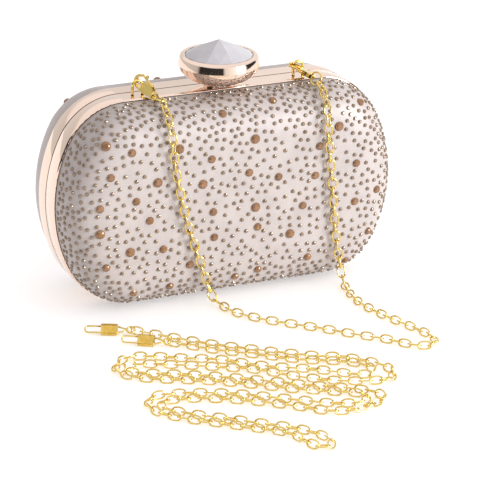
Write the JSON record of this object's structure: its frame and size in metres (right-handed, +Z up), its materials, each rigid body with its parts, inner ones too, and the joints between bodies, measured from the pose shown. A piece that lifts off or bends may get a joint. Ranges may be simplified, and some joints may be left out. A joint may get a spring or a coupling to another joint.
{
  "type": "evening clutch",
  "caption": "Hard evening clutch: domed satin shells in metal frames, hinged along the base, with a crystal knob clasp, short clip-on chain and loose long chain.",
  "frame": {"origin": "on the surface the case stands on, under the middle of the seam between its two frames", "axes": "+X to the wearer's right along the case's length, +Y to the rear shell, +Z up"},
  "size_m": [0.1773, 0.2332, 0.1248],
  "materials": {
    "frame_metal": "polished rose gold plate",
    "hinge_metal": "satin rose gold plate",
    "spring_steel": "plain spring steel",
    "satin": "champagne satin set with small rhinestones",
    "lining": "matt lining cloth",
    "crystal": "cut and polished",
    "topaz": "foil-backed cut stones",
    "chain_gold": "polished yellow gold plate",
    "long_chain_gold": "polished gold colour"
  },
  "bodies": {
    "front_half": {"front_frame": "frame_metal", "front_shell": "satin", "front_lining": "lining", "front_hinge_leaf": "hinge_metal", "hinge_pin": "spring_steel", "clasp_plate": "frame_metal", "clasp_bracket": "hinge_metal", "clasp_pivot_pin": "spring_steel", "clasp_spring": "spring_steel", "chain_bails": "frame_metal", "front_large_stones": "topaz", "front_medium_stones": "topaz", "left_clasp_body": "chain_gold", "right_clasp_body": "chain_gold", "left_jump_ring": "chain_gold", "right_jump_ring": "chain_gold", "short_chain": "chain_gold", "long_chain": "long_chain_gold", "first_clip_hook": "chain_gold", "second_clip_hook": "chain_gold"},
    "rear_half": {"rear_frame": "frame_metal", "rear_shell": "satin", "rear_lining": "lining", "rear_hinge_leaf": "hinge_metal", "catch_spring": "spring_steel", "rear_large_stones": "topaz", "rear_medium_stones": "topaz"},
    "knob": {"clasp_lever": "hinge_metal", "knob_cup": "frame_metal", "knob_crystal": "crystal"},
    "left_gate": {"left_clasp_gate": "chain_gold"},
    "right_gate": {"right_clasp_gate": "chain_gold"},
    "first_sleeve": {"first_clip_sleeve": "chain_gold"},
    "second_sleeve": {"second_clip_sleeve": "chain_gold"}
  },
  "joints": [
    {"name": "case_hinge", "type": "hinge", "parent": "front_half", "child": "rear_half", "pos_m": [0, 0, 0.0015], "axis": [-1, 0, 0], "range_deg": [0, 95], "deforming": ["catch_spring"]},
    {"name": "knob_tilt", "type": "hinge", "parent": "front_half", "child": "knob", "pos_m": [0, -0.005, 0.0972], "axis": [-1, 0, 0], "range_deg": [0, 8], "stiffness_Nm_per_rad": 0.6, "springref_deg": -5.73, "deforming": ["clasp_spring"]},
    {"name": "left_gate_pivot", "type": "hinge", "parent": "front_half", "child": "left_gate", "pos_m": [-0.0378, -0.01144, 0.10682], "axis": [-0.8354, -0.4958, 0.2374], "range_deg": [0, 20], "stiffness_Nm_per_rad": 0.003, "springref_deg": -11.46},
    {"name": "right_gate_pivot", "type": "hinge", "parent": "front_half", "child": "right_gate", "pos_m": [0.04062, -0.01269, 0.10548], "axis": [-0.3941, 0.0664, -0.9167], "range_deg": [0, 20], "stiffness_Nm_per_rad": 0.003, "springref_deg": -11.46},
    {"name": "first_sleeve_slide", "type": "slide", "parent": "front_half", "child": "first_sleeve", "axis": [0.908, -0.419, 0], "range_m": [0, 0.0035], "stiffness_N_per_m": 40, "springref_m": -0.002},
    {"name": "second_sleeve_slide", "type": "slide", "parent": "front_half", "child": "second_sleeve", "axis": [0.862, -0.507, 0], "range_m": [0, 0.0035], "stiffness_N_per_m": 40, "springref_m": -0.002}
  ]
}
